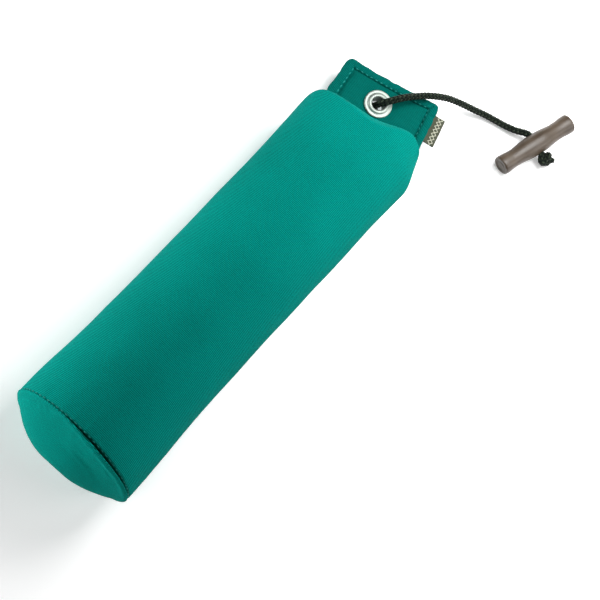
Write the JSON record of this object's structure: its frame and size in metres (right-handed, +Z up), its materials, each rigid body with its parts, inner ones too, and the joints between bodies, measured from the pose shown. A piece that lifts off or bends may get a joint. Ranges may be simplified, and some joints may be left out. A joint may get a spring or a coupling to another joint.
{
  "type": "training bumper",
  "caption": "Stuffed canvas tube lying on its flat underside, with a sewn end tab, an eyelet, a side label and a short braided cord through a toggle.",
  "frame": {"origin": "centre of the flat underside of the canvas tube, on the surface it lies on", "axes": "+X runs along the tube towards the tab, +Y is to the tube's left seen from above with the tab ahead, +Z is up"},
  "size_m": [0.3745, 0.1327, 0.067],
  "materials": {
    "canvas": "matte",
    "tab_canvas": "matte",
    "thread": "satin",
    "liner": "matte",
    "wadding": "matte",
    "granules": "matte",
    "nickel": "satin",
    "ribbon": "satin",
    "cord": "satin",
    "horn": "satin"
  },
  "bodies": {
    "bumper": {"cover_tube": "canvas", "end_panel": "canvas", "end_seam_allowance": "canvas", "end_seam_thread": "thread", "side_seam_allowance": "canvas", "side_seam_thread": "thread", "shoulder_top": "canvas", "shoulder_bottom": "canvas", "gusset_left": "canvas", "gusset_right": "canvas", "liner_bag": "liner", "wadding": "wadding", "neck_wadding": "wadding", "granule_sleeve": "granules"},
    "tab": {"tab_top_panel": "tab_canvas", "tab_bottom_panel": "tab_canvas", "tab_strip": "tab_canvas", "tab_hem": "tab_canvas", "tab_stitching": "thread", "tab_back_stitching": "thread", "eyelet": "nickel", "eyelet_washer": "nickel", "side_label": "ribbon"},
    "cord": {"throw_cord": "cord", "stop_knot": "cord", "end_knot": "cord"},
    "toggle": {"toggle": "horn"}
  },
  "joints": [
    {"name": "tab_fold", "type": "hinge", "parent": "bumper", "child": "tab", "pos_m": [0.14254, 0.00314, 0.014], "axis": [-0.2756, 0.9613, 0], "range_deg": [-60, 45]},
    {"name": "cord_swivel", "type": "hinge", "parent": "tab", "child": "cord", "pos_m": [0.156, 0.007, 0.0186], "axis": [0, 0, 1], "range_deg": [-30, 70]},
    {"name": "toggle_spin", "type": "hinge", "parent": "cord", "child": "toggle", "pos_m": [0.213, -0.078, 0.0065], "axis": [-0.2419, -0.9703, 0], "continuous": true}
  ]
}
